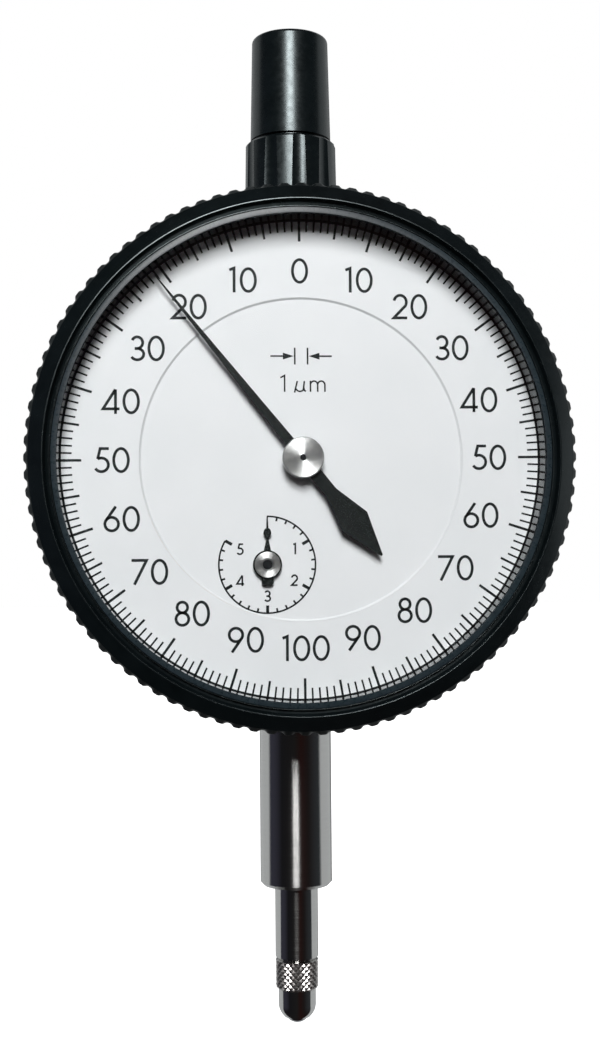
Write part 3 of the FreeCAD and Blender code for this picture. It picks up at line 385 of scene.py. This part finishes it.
class Finish(Graph):
    """A Principled material, with short calls for the patterns that drive it."""

    def __init__(self, name, **numbers):
        self.material = bpy.data.materials.new(name)
        self.material.use_nodes = True
        super().__init__(self.material.node_tree)
        self.shader = self.tree.nodes["Principled BSDF"]
        self.place = self.node("ShaderNodeTexCoord").outputs["Object"]
        for socket, value in numbers.items():
            self.shader.inputs[socket.replace("_", " ")].default_value = value

    def noise(self, size, stretch=(1, 1, 1), detail=3.0):
        """Noise with features about that size, longer along an axis whose stretch is over 1."""
        mapping = self.node("ShaderNodeMapping")
        mapping.inputs["Scale"].default_value = [1 / (size * s) for s in stretch]
        self.link(self.place, mapping.inputs["Vector"])
        made = self.node("ShaderNodeTexNoise")
        made.inputs["Scale"].default_value = 1.0
        made.inputs["Detail"].default_value = detail
        self.link(mapping.outputs["Vector"], made.inputs["Vector"])
        return made.outputs["Fac"]

    def colours(self, value, stops):
        """The base colour from a value: stops are (position, colour)."""
        self.link(self.ramp(value, stops), self.shader.inputs["Base Color"])

    def between(self, value, first, second):
        """The base colour, from one to another over the middle of a noise's range."""
        self.colours(value, [(NOISE_LOW, first), (NOISE_HIGH, second)])

    def roughness(self, value, low, high):
        """Roughness, from one value to another over the middle of a noise's range."""
        scaled = self.scaled(value, NOISE_LOW, NOISE_HIGH, low, high)
        self.link(scaled, self.shader.inputs["Roughness"])

    def bump(self, value, height, strength=1.0):
        made = self.node("ShaderNodeBump")
        made.inputs["Distance"].default_value = height
        made.inputs["Strength"].default_value = strength
        self.link(value, made.inputs["Height"])
        self.link(made.outputs["Normal"], self.shader.inputs["Normal"])

    def brushed_round(self, axis, amount):
        """Fine marks that run round an axis."""
        tangent = self.node("ShaderNodeTangent", direction_type="RADIAL", axis=axis)
        self.link(tangent.outputs["Tangent"], self.shader.inputs["Tangent"])
        self.shader.inputs["Anisotropic"].default_value = amount
        self.shader.inputs["Anisotropic Rotation"].default_value = 0.25


def moulded_plastic(name, rough, sheen=0.5):
    finish = Finish(name, IOR=1.5, Specular_IOR_Level=sheen)
    finish.shader.inputs["Specular Tint"].default_value = (0.88, 1.0, 1.02, 1)
    finish.between(finish.noise(2.5 * MM), (0.0025, 0.0042, 0.0048), (0.0045, 0.007, 0.008))
    finish.roughness(finish.noise(0.6 * MM), rough * 0.85, rough * 1.15)
    finish.bump(finish.noise(0.25 * MM, detail=2.0), 0.0015 * MM, 0.5)
    return finish.material


def rim_painted_reflection():
    """The crystal's rim: slate grey painted in as a reflection of the dial, under a real highlight from
    its gloss.
    """
    finish = Finish("rim_painted_reflection", IOR=1.49, Specular_IOR_Level=0.24)
    # Painted reflection: this slate grey stands in for the dial mirrored in the crystal's edge
    finish.between(finish.noise(0.8 * MM), (0.014, 0.022, 0.027), (0.022, 0.033, 0.040))
    finish.roughness(finish.noise(0.3 * MM), 0.26, 0.31)
    return finish.material


def black_enamel():
    finish = Finish("black_enamel", IOR=1.5, Coat_Weight=0.3, Coat_Roughness=0.15)
    finish.between(finish.noise(1.5 * MM), (0.008, 0.010, 0.011), (0.013, 0.016, 0.017))
    finish.roughness(finish.noise(0.4 * MM), 0.32, 0.46)
    finish.bump(finish.noise(0.3 * MM), 0.004 * MM, 0.6)
    return finish.material


def ground_steel(name, rough, around=0.0, tint=(0.60, 0.595, 0.585)):
    """Steel ground between centres: fine marks round the spindle's axis."""
    finish = Finish(name, Metallic=1.0)
    marks = finish.noise(0.06 * MM, stretch=(60, 60, 1), detail=2.0)
    darker = tuple(0.93 * c for c in tint)
    finish.between(marks, darker, tint)
    finish.roughness(marks, rough * 0.8, rough * 1.2)
    if around:
        finish.brushed_round("Z", around)
    return finish.material


def turned_metal():
    """The face-turned pointer hubs: marks in circles, so light fans out from the middle."""
    finish = Finish("turned_metal", Metallic=1.0)
    cloud = finish.noise(0.5 * MM)
    finish.between(cloud, (0.31, 0.32, 0.318), (0.39, 0.395, 0.39))
    finish.roughness(cloud, 0.29, 0.35)
    finish.bump(finish.noise(0.07 * MM), 0.002 * MM, 0.4)
    finish.brushed_round("Y", 0.8)
    return finish.material


def metal(name, tint, rough, size=0.2 * MM, stretch=(1, 1, 1)):
    finish = Finish(name, Metallic=1.0)
    marks = finish.noise(size, stretch)
    darker = tuple(0.82 * c for c in tint)
    finish.between(marks, darker, tint)
    finish.roughness(marks, rough * 0.8, rough * 1.25)
    finish.bump(marks, 0.003 * MM, 0.3)
    return finish.material


def dial_lacquer():
    finish = Finish("dial_lacquer", IOR=1.45)
    finish.between(finish.noise(6 * MM), (0.755, 0.785, 0.80), (0.785, 0.81, 0.825))
    finish.roughness(finish.noise(0.3 * MM), 0.42, 0.52)
    finish.bump(finish.noise(0.12 * MM), 0.001 * MM, 0.35)
    return finish.material


def ink():
    finish = Finish("dial_ink", IOR=1.45, Specular_IOR_Level=0.12)
    finish.between(finish.noise(0.3 * MM), (0.006, 0.0085, 0.009), (0.014, 0.018, 0.019))
    finish.roughness(finish.noise(0.2 * MM), 0.42, 0.55)
    return finish.material


def pointer_coat():
    """Matt black with a crushed-metal sparkle."""
    finish = Finish("pointer_coat", IOR=1.5, Specular_IOR_Level=0.07)
    speckle = finish.noise(0.1 * MM, detail=1.0)
    finish.colours(speckle, [(0.58, (0.0025, 0.0042, 0.0044)), (0.68, (0.065, 0.08, 0.076))])
    finish.roughness(speckle, 0.4, 0.55)
    finish.bump(speckle, 0.02 * MM, 0.9)
    return finish.material


def rubber():
    finish = Finish("rubber", IOR=1.5)
    finish.between(finish.noise(0.5 * MM), (0.012, 0.012, 0.012), (0.02, 0.02, 0.02))
    finish.roughness(finish.noise(0.3 * MM), 0.7, 0.85)
    return finish.material


def ruby():
    finish = Finish("ruby", IOR=1.77, Transmission_Weight=0.6)
    finish.between(finish.noise(0.4 * MM), (0.30, 0.004, 0.03), (0.45, 0.008, 0.05))
    finish.roughness(finish.noise(0.2 * MM), 0.05, 0.12)
    return finish.material


def clear_crystal():
    """Acrylic that lets the light through to the dial."""
    finish = Finish("crystal", IOR=1.49, Transmission_Weight=1.0)
    haze = finish.noise(3 * MM)
    finish.roughness(haze, 0.0, 0.02)
    finish.shader.inputs["Base Color"].default_value = (1, 1, 1, 1)
    clear = finish.node("ShaderNodeBsdfTransparent")
    path = finish.node("ShaderNodeLightPath")
    mix = finish.node("ShaderNodeMixShader")
    either = finish.node("ShaderNodeMath", operation="MAXIMUM")
    finish.link(path.outputs["Is Shadow Ray"], either.inputs[0])
    finish.link(path.outputs["Is Diffuse Ray"], either.inputs[1])
    finish.link(either.outputs["Value"], mix.inputs["Fac"])
    finish.link(finish.shader.outputs["BSDF"], mix.inputs[1])
    finish.link(clear.outputs["BSDF"], mix.inputs[2])
    output = finish.tree.nodes["Material Output"]
    finish.link(mix.outputs["Shader"], output.inputs["Surface"])
    return finish.material


GLYPHS = make_glyphs()
INK = ink()
RIM_PLASTIC = moulded_plastic("rim_plastic", 0.24)
CAP_PLASTIC = moulded_plastic("cap_plastic", 0.27)
WALL_PLASTIC = moulded_plastic("wall_plastic", 0.05)
GRIP_PLASTIC = moulded_plastic("grip_plastic", 0.4, sheen=0.16)
RIM_PAINTED_REFLECTION = rim_painted_reflection()
STEEL = ground_steel("ground_steel", 0.13, around=0.95)
STEM_STEEL = ground_steel("stem_steel", 0.21, around=1.0)
POINT_STEEL = ground_steel("point_steel", 0.1)
KNURL_STEEL = metal("knurl_steel", (0.60, 0.57, 0.555), 0.31, 0.1 * MM)
BRASS = metal("brass", (0.72, 0.53, 0.24), 0.3, 0.05 * MM, (40, 1, 1))
BRONZE = metal("bronze", (0.58, 0.36, 0.18), 0.35)
SPRING_STEEL = metal("spring_steel", (0.50, 0.51, 0.53), 0.22)
# Near-black steel on the arbor ends: painted shade, so the holes in the pointer hubs read dark
HUB_HOLE_SHADE_STEEL = metal("arbor_painted_shade", (0.010, 0.011, 0.012), 0.35)
CARBIDE = metal("carbide", (0.36, 0.36, 0.37), 0.12)
TURNED = turned_metal()
POINTER_COAT = pointer_coat()
LACQUER = dial_lacquer()
CLEAR = clear_crystal()

FINISHES = {
    CAP_PLASTIC: ("cap_collar", "spindle_cap", "dial_retainer"),
    black_enamel(): ("case_housing", "back_cover"),
    rubber(): ("back_gasket", "buffer_washer"),
    STEM_STEEL: ("stem",),
    STEEL: ("spindle", "back_cover_screws", "movement_screws", "guide_rail", "guide_rail_screws",
            "spring_anchor", "stop_ring", "guide_pin", "first_arbor", "second_arbor",
            "takeup_arbor"),
    # The arbors near black as painted shade in the hubs' holes
    HUB_HOLE_SHADE_STEEL: ("centre_arbor", "counter_arbor"),
    BRONZE: ("lower_bush", "upper_bush"),
    BRASS: ("rear_plate", "middle_plate", "front_plate", "rear_pillars", "front_pillars",
            "counter_bush", "hairspring_stud", "first_wheel", "second_wheel", "counter_wheel",
            "takeup_wheel", "hairspring_collet"),
    SPRING_STEEL: ("return_spring", "hairspring", "bezel_snap_ring"),
    ruby(): ("pivot_jewels",),
    LACQUER: ("dial_disc", "dial_ring"),
    CLEAR: ("crystal",),
    POINTER_COAT: ("pointer", "counter_pointer"),
    TURNED: ("pointer_hub", "counter_hub"),
    CARBIDE: ("contact_ball",),
}


def dress_nodes():
    for material, names in FINISHES.items():
        for name in names:
            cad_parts[name].data.materials.clear()
            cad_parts[name].data.materials.append(material)


# Pieces

def outer_scale():
    """The 200 divisions and their border."""
    work = Print(RING_FACE_Y)
    for index in range(DIVISIONS):
        kind = next(size for size in TICK_INNER if index % size == 0)
        angle = index * 360 / DIVISIONS + DIAL_TURN
        ends = [clock(TICK_INNER[kind], angle), clock(TICK_OUTER, angle)]
        work.strip(ends, TICK_WIDTH[kind])
    border = [clock(BORDER_R, angle) for angle in range(0, 360, BORDER_STEP)]
    work.strip(border, BORDER_WIDTH, closed=True)
    return work.piece("outer_scale", "bezel")


def outer_numerals():
    """0 at the top, then 10 to 90 down both sides, and 100 at the bottom."""
    work = Print(RING_FACE_Y)
    count = DIVISIONS // 10
    for index in range(count):
        tens = min(index, count - index)
        word = str(10 * tens)
        place = clock(NUMERAL_R, index * 360 / count + DIAL_TURN)
        work.text(word, NUMERAL_HEIGHT, NUMERAL_STROKE, place)
    return work.piece("outer_numerals", "bezel")


def counter_scale():
    """The turn counter's arc, its ticks and the numerals 1 to 5."""
    work = Print(DISC_FACE_Y, (COUNTER_X, COUNTER_Z))
    arc_step, fifths = 3, 5
    work.strip([clock(COUNTER_R, a) for a in range(0, COUNTER_END + 1, arc_step)], COUNTER_LINE)
    for angle in range(COUNTER_STEP, COUNTER_END + 1, COUNTER_STEP):
        whole = angle % (fifths * COUNTER_STEP) == 0
        length, width = WHOLE_TICK if whole else FIFTH_TICK
        work.strip([clock(COUNTER_R - length, angle), clock(COUNTER_R, angle)], width)
        if whole:
            word = str(angle // (fifths * COUNTER_STEP))
            place = clock(COUNTER_NUMERAL_R, angle)
            work.text(word, COUNTER_NUMERAL_HEIGHT, COUNTER_NUMERAL_STROKE, place)
    return work.piece("counter_scale", "case")


def unit_arrows(work):
    """Two arrows that point at a pair of bars, one division apart."""
    gap, bar, barb = 0.67 * MM, 0.88 * MM, 0.36 * MM
    height = MARK_ARROWS_Z
    for side in (-1, 1):
        edge = side * gap
        work.strip([(edge, height - bar), (edge, height + bar)], MARK_LINE)
        tip, neck, end = edge + side * 0.1 * MM, edge + side * 1.25 * MM, edge + side * 2.55 * MM
        work.filled([(tip, height), (neck, height + barb), (neck, height - barb)])
        work.strip([(neck, height), (end, height)], MARK_LINE)


def unit_text(work):
    """A one, a mu and an m, of strokes in a height of 1."""
    one_x, mu_x, m_x = -2.2 * MM, -0.72 * MM, 0.95 * MM

    def stroke(points, x):
        placed = [(x + px * MARK_TEXT_HEIGHT, MARK_TEXT_Z + pz * MARK_TEXT_HEIGHT) for px, pz in points]
        work.strip(placed, MARK_LINE)

    stroke([(0.0, 0.86), (0.26, 1.0), (0.26, 0.0)], one_x)
    stroke([(0.17, 0.66), (0.0, -0.04)], mu_x)
    bowl = arc(0.33, 0.25, 0.24, 0.22, 195, 330, 12)
    stroke(bowl + [(0.60, 0.66)], mu_x)
    stroke([(0.56, 0.28), (0.60, 0.08), (0.70, 0.04)], mu_x)
    stroke([(0.0, 0.68), (0.0, 0.0)], m_x)
    for start in (0.0, 0.44):
        hump = arc(start + 0.22, 0.43, 0.22, 0.23, 170, 0, 12)
        stroke(hump + [(start + 0.44, 0.0)], m_x)


def unit_mark():
    """The arrows that show one division, over its size in micrometres."""
    work = Print(DISC_FACE_Y)
    unit_arrows(work)
    unit_text(work)
    return work.piece("unit_mark", "case")


def scallop_radius(radius, along, angle):
    """Keeps the rim inside its lobed outline."""
    share = (angle * SCALLOPS / (2 * math.pi)) % 1.0
    across = min(share, 1 - share)
    flat, foot = 0.12, 0.42
    ease = min(1.0, max(0.0, (across - flat) / (foot - flat)))
    outline = RIM_R - SCALLOP_DEPTH * ease * ease * (3 - 2 * ease)
    return min(radius, outline)


def bezel_profile():
    """The bezel's section: (radius, y, fillet), from its back edge round by the rim."""
    ridge_r = RIM_R - 2.02 * MM
    return rounded([(r, y, f * MM) for r, y, f in (
        (SKIRT_R, BEZEL_BACK_Y, 0.05),
        (RIM_R, BEZEL_BACK_Y, 0.45),
        (RIM_R, LIP_Y + 1.45 * MM, 0.3),
        (RIM_R - 0.5 * MM, LIP_Y + 0.8 * MM, 0.25),
        (ridge_r + 0.08 * MM, BEZEL_FRONT_Y + 0.01 * MM, 0.1),
        (ridge_r - 0.04 * MM, BEZEL_FRONT_Y, 0.06),
        (ridge_r - 0.3 * MM, LIP_Y + 0.35 * MM, 0.05),
        (CRYSTAL_R + 0.2 * MM, LIP_Y + 0.55 * MM, 0.05),
        (CRYSTAL_R + 0.12 * MM, LIP_Y + 0.08 * MM, 0.03),
        (CRYSTAL_R + 0.06 * MM, LIP_Y + 0.08 * MM, 0.02),
        (SEAT_BACK_R + 0.06 * MM, CRYSTAL_HIGH.y + 0.03 * MM, 0.0),
        (WINDOW_R + 0.12 * MM, CRYSTAL_HIGH.y + 0.03 * MM, 0.0),
        (WINDOW_R, RING_FACE_Y, 0.0),
        (SKIRT_R, RING_FACE_Y, 0.0))])


def bezel_shell():
    """The bezel, with a glossy inner wall that mirrors the divisions and a duller grip."""
    bm = turned_mesh(bezel_profile(), SCALLOP_STEPS * SCALLOPS, scallop_radius)
    grip_r = RIM_R - 0.6 * MM
    for face in bm.faces:
        middle = face.calc_center_median()
        radius = math.hypot(middle.x, middle.z - DIAL_Z)
        if radius < SEAT_BACK_R and middle.y > LIP_Y:
            face.material_index = 1
        elif radius > grip_r:
            face.material_index = 2
    piece = finish_mesh(bm, "bezel_shell", RIM_PLASTIC, "bezel", smooth_angle=32)
    piece.data.materials.append(WALL_PLASTIC)
    piece.data.materials.append(GRIP_PLASTIC)
    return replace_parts(piece, "bezel")


def crystal_lens():
    """The crystal: flat in the middle, with a gently crowned rim whose edge is opaque slate, a painted
    reflection of the dial.
    """
    core_r = 0.01 * MM
    crown_start, crown_r, crown_end = PAINTED_RIM_R + 0.01 * MM, 2.6 * MM, CRYSTAL_R - 0.02 * MM
    reach = math.asin((crown_end - crown_start) / crown_r)
    steps = 20
    crown = [(crown_start + crown_r * math.sin(reach * k / steps),
              CRYSTAL_LOW.y + crown_r * (1 - math.cos(reach * k / steps))) for k in range(steps + 1)]
    flat = (core_r, 8 * MM, 16 * MM, 24 * MM, PAINTED_RIM_R - 0.01 * MM)
    profile = [(r, CRYSTAL_LOW.y) for r in flat] + crown
    profile += [(SEAT_BACK_R, CRYSTAL_HIGH.y), (core_r, CRYSTAL_HIGH.y)]
    bm = turned_mesh(profile, ROUND_STEPS)
    for face in bm.faces:
        middle = face.calc_center_median()
        # The rim's faces take the slate grey that paints in the dial's reflection
        if math.hypot(middle.x, middle.z - DIAL_Z) > PAINTED_RIM_R:
            face.material_index = 1
    piece = finish_mesh(bm, "crystal_lens", CLEAR, "bezel", smooth_angle=20)
    piece.data.materials.append(RIM_PAINTED_REFLECTION)
    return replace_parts(piece, "crystal")


def stepped_dial():
    """The fixed middle of the dial, whose edge slopes up to the ring around it."""
    low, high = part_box("dial_disc")
    slope, bore, gap = 0.22 * MM, 1.0 * MM, 0.02 * MM
    edge = INNER_DIAL_R - gap
    profile = [(bore, low.y), (8 * MM, low.y), (INNER_DIAL_R - slope - 0.2 * MM, low.y),
               (INNER_DIAL_R - slope, low.y), (edge, RING_FACE_Y + 0.005 * MM),
               (edge, low.y + 0.1 * MM), (high.x, low.y + 0.12 * MM),
               (high.x, high.y), (bore, high.y)]
    bm = turned_mesh(profile, ROUND_STEPS)
    piece = finish_mesh(bm, "stepped_dial", LACQUER, "case", smooth_angle=20)
    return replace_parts(piece, "dial_disc")


def knurl_cut(along, angle):
    """How deep the crossed grooves are at a height and an angle."""
    turns = angle * KNURLS / (2 * math.pi)
    waves = [abs(2 * ((turns + way * along / KNURL_RISE) % 1.0) - 1) for way in (-1, 1)]
    return KNURL_DEPTH * max(waves)


def nose_profile(nose_r, low_z):
    """The nose from its shoulder to the mouth that holds the ball."""
    ball_low, ball_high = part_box("contact_ball")
    ball_r = (ball_high.z - ball_low.z) / 2
    ball_z = ball_low.z + ball_r
    shoulder_z, mouth_r = ball_z + 0.45 * ball_r, ball_r - 0.1 * MM
    steps, bulge = 12, 2.4
    shares = [k / steps for k in range(steps + 1)]
    return [(nose_r - (nose_r - mouth_r) * share ** bulge,
             shoulder_z + (low_z - shoulder_z) * share) for share in shares]


def knurled_point():
    """The contact point: a diamond-knurled grip over a stout, rounded nose."""
    low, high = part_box("contact_point")
    ball_low, ball_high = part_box("contact_ball")
    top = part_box("spindle")[0].z
    grip_r, stud_r, core_r = high.x, 1.25 * MM, 0.02 * MM
    nose_r = (ball_high.z - ball_low.z) / 2 + 0.58 * MM
    grip_end = top - GRIP_LENGTH
    knurl_top = top - 0.1 * MM
    span = top - grip_end - 0.2 * MM

    def knurl(radius, along, angle):
        on_grip = radius > grip_r - 0.001 * MM
        return radius - knurl_cut(along, angle) if on_grip else radius

    profile = [(core_r, high.z), (stud_r, high.z), (stud_r, top - 0.01 * MM),
               (grip_r - 0.22 * MM, top - 0.01 * MM), (grip_r - 0.04 * MM, top - 0.08 * MM)]
    profile += [(grip_r, knurl_top - span * k / KNURL_ROWS) for k in range(KNURL_ROWS + 1)]
    profile += [(nose_r + 0.02 * MM, grip_end - 0.12 * MM), (nose_r, grip_end - 0.3 * MM)]
    profile += nose_profile(nose_r, low.z) + [(core_r, low.z)]
    bm = turned_mesh(profile, KNURL_STEPS * KNURLS, knurl, axis="Z")
    for face in bm.faces:
        height = face.calc_center_median().z
        if grip_end - 0.1 * MM < height < knurl_top:
            face.material_index = 1
    piece = finish_mesh(bm, "knurled_point", POINT_STEEL, "spindle", smooth_angle=28)
    piece.data.materials.append(KNURL_STEEL)
    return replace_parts(piece, "contact_point")


# Stage

def stage_floor():
    """A pale floor under the tip. It isn't mirrored in the steel or the crystal."""
    mesh = bpy.data.meshes.new("floor")
    half = FLOOR_HALF
    z = cad_box[0].z - FLOOR_DROP
    mesh.from_pydata([(-half, -half, z), (half, -half, z), (half, half, z), (-half, half, z)],
                     [], [(0, 1, 2, 3)])
    finish = Finish("floor", Roughness=0.9)
    finish.between(finish.noise(80 * MM), (0.88, 0.88, 0.88), (0.9, 0.9, 0.9))
    finish.shader.inputs["Emission Color"].default_value = (1, 1, 1, 1)
    finish.shader.inputs["Emission Strength"].default_value = FLOOR_GLOW
    mesh.materials.append(finish.material)
    floor = bpy.data.objects.new("floor", mesh)
    bpy.context.scene.collection.objects.link(floor)
    floor.visible_glossy = False
    floor.visible_diffuse = False
    floor.visible_transmission = False


def studio_world():
    """A pale surround: bright at the sides, dim in front and straight behind the object."""
    world = bpy.data.worlds.new("studio")
    bpy.context.scene.world = world
    world.use_nodes = True
    graph = Graph(world.node_tree)
    direction = graph.node("ShaderNodeTexCoord").outputs["Generated"]
    forwards = graph.node("ShaderNodeVectorMath", operation="DOT_PRODUCT")
    forwards.inputs[1].default_value = TOWARDS_FRONT
    graph.link(direction, forwards.inputs[0])
    split = graph.node("ShaderNodeSeparateXYZ")
    graph.link(direction, split.inputs[0])
    steep = graph.node("ShaderNodeMath", operation="ABSOLUTE")
    graph.link(split.outputs["Z"], steep.inputs[0])
    # Steep directions count as nearer the front
    facing = graph.node("ShaderNodeMath", operation="MULTIPLY_ADD")
    facing.inputs[1].default_value = 0.6
    graph.link(steep.outputs["Value"], facing.inputs[0])
    graph.link(forwards.outputs["Value"], facing.inputs[2])
    across = graph.scaled(split.outputs["X"], -1.0, 1.0)
    around = graph.mixed(graph.scaled(facing.outputs["Value"], 0.07, 0.14))
    around.inputs["A"].default_value = SIDES
    graph.link(graph.ramp(across, ROOM_COLOURS), around.inputs["B"])
    backed = graph.mixed(graph.scaled(forwards.outputs["Value"], -0.97, -0.84))
    backed.inputs["A"].default_value = BEHIND
    graph.link(around.outputs["Result"], backed.inputs["B"])
    shown = graph.mixed(graph.node("ShaderNodeLightPath").outputs["Is Camera Ray"])
    graph.link(backed.outputs["Result"], shown.inputs["A"])
    shown.inputs["B"].default_value = PALE
    graph.link(shown.outputs["Result"], graph.tree.nodes["Background"].inputs["Color"])


def key_light():
    """A soft upright light in front of the dial and above it."""
    target = Vector((0, 0, DIAL_Z))
    azimuth, rise = math.radians(KEY_AZIMUTH), math.radians(KEY_ELEVATION)
    towards = Vector((math.sin(azimuth) * math.cos(rise), -math.cos(azimuth) * math.cos(rise),
                      math.sin(rise)))
    light = bpy.data.lights.new("key", "AREA")
    light.shape = "RECTANGLE"
    light.size, light.size_y = KEY_SIZE
    light.energy = KEY_POWER
    lamp = bpy.data.objects.new("key", light)
    lamp.location = target + towards * KEY_DISTANCE
    lamp.rotation_euler = towards.to_track_quat("Z", "Y").to_euler()
    bpy.context.scene.collection.objects.link(lamp)


def camera():
    data = bpy.data.cameras.new("camera")
    data.sensor_fit = "VERTICAL"
    data.sensor_height = CAMERA_SENSOR
    data.lens = CAMERA_LENS
    data.clip_start = 0.005
    eye = bpy.data.objects.new("camera", data)
    eye.matrix_world = (Matrix.Translation(CAMERA_PLACE)
                        @ Matrix.Rotation(math.radians(CAMERA_YAW), 4, "Z")
                        @ Matrix.Rotation(math.radians(90 + CAMERA_PITCH), 4, "X")
                        @ Matrix.Rotation(math.radians(CAMERA_ROLL), 4, "Z"))
    bpy.context.scene.collection.objects.link(eye)
    bpy.context.scene.camera = eye


dress_nodes()
stepped_dial()
outer_scale()
outer_numerals()
counter_scale()
unit_mark()
bezel_shell()
crystal_lens()
knurled_point()
stage_floor()
studio_world()
key_light()
camera()
bpy.context.scene.view_settings.view_transform = "Standard"
